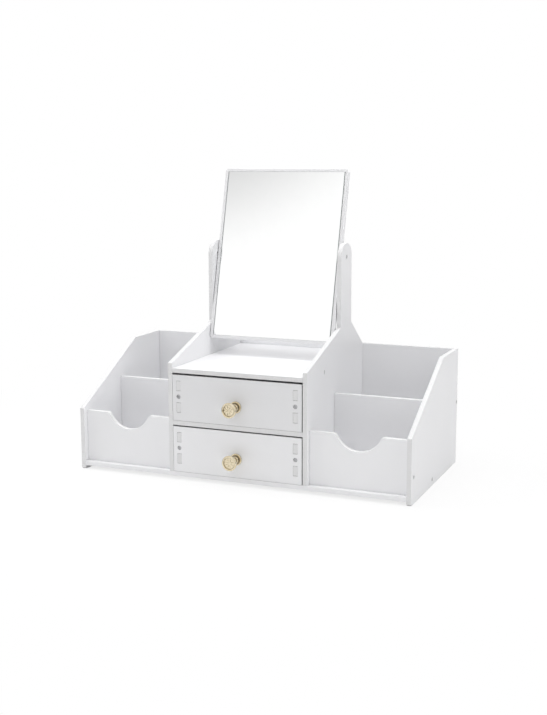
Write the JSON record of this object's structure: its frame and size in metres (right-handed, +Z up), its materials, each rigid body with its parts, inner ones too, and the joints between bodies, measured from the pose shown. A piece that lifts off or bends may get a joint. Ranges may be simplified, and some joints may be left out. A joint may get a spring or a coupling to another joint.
{
  "type": "vanity mirror with drawers",
  "caption": "White table-top vanity organiser: a tilting mirror on two posts above two stacked drawers with round gold knobs, and open divided compartments on both sides.",
  "frame": {"origin": "on the table under the middle of the whole object, knobs included", "axes": "+X to the object's right seen from the front, +Y to the rear, +Z up; the drawers open towards -Y"},
  "size_m": [0.5, 0.2644, 0.4331],
  "materials": {
    "white_board": "white laminated wood-plastic board, smooth and slightly satin",
    "mirror_glass": "clear silvered glass",
    "gold_knob": "polished gold plating",
    "screw_steel": "zinc plated",
    "insert_brass": "plain turned brass",
    "black_nylon": "moulded black nylon",
    "tape": "foam mounting tape"
  },
  "bodies": {
    "carcass": {"left_side_panel": "white_board", "left_centre_panel": "white_board", "left_front_panel": "white_board", "left_divider": "white_board", "right_side_panel": "white_board", "right_centre_panel": "white_board", "right_front_panel": "white_board", "right_divider": "white_board", "base_plate": "white_board", "back_board": "white_board", "top_shelf": "white_board", "drawer_mid_board": "white_board", "left_side_screws": "screw_steel", "right_side_screws": "screw_steel", "shelf_screws": "screw_steel", "base_plate_screws": "screw_steel", "bay_screws": "screw_steel", "back_board_screws": "screw_steel"},
    "upper_drawer": {"upper_drawer_bottom": "white_board", "upper_drawer_front": "white_board", "upper_drawer_rear_wall": "white_board", "upper_drawer_left_side": "white_board", "upper_drawer_right_side": "white_board", "upper_drawer_screws": "screw_steel", "upper_drawer_nuts": "screw_steel", "upper_knob": "gold_knob", "upper_knob_flange": "gold_knob", "upper_knob_screw": "screw_steel"},
    "lower_drawer": {"lower_drawer_bottom": "white_board", "lower_drawer_front": "white_board", "lower_drawer_rear_wall": "white_board", "lower_drawer_left_side": "white_board", "lower_drawer_right_side": "white_board", "lower_drawer_screws": "screw_steel", "lower_drawer_nuts": "screw_steel", "lower_knob": "gold_knob", "lower_knob_flange": "gold_knob", "lower_knob_screw": "screw_steel"},
    "mirror": {"mirror_frame": "white_board", "mirror_glass": "mirror_glass", "mounting_tape": "tape", "pivot_inserts": "insert_brass", "pivot_washers": "black_nylon", "pivot_screws": "screw_steel"}
  },
  "joints": [
    {"name": "upper_drawer_slide", "type": "slide", "parent": "carcass", "child": "upper_drawer", "axis": [0, -1, 0], "range_m": [0, 0.17]},
    {"name": "lower_drawer_slide", "type": "slide", "parent": "carcass", "child": "lower_drawer", "axis": [0, -1, 0], "range_m": [0, 0.17]},
    {"name": "mirror_tilt", "type": "hinge", "parent": "carcass", "child": "mirror", "pos_m": [0, 0.049, 0.3086], "axis": [-1, 0, 0], "continuous": true}
  ]
}
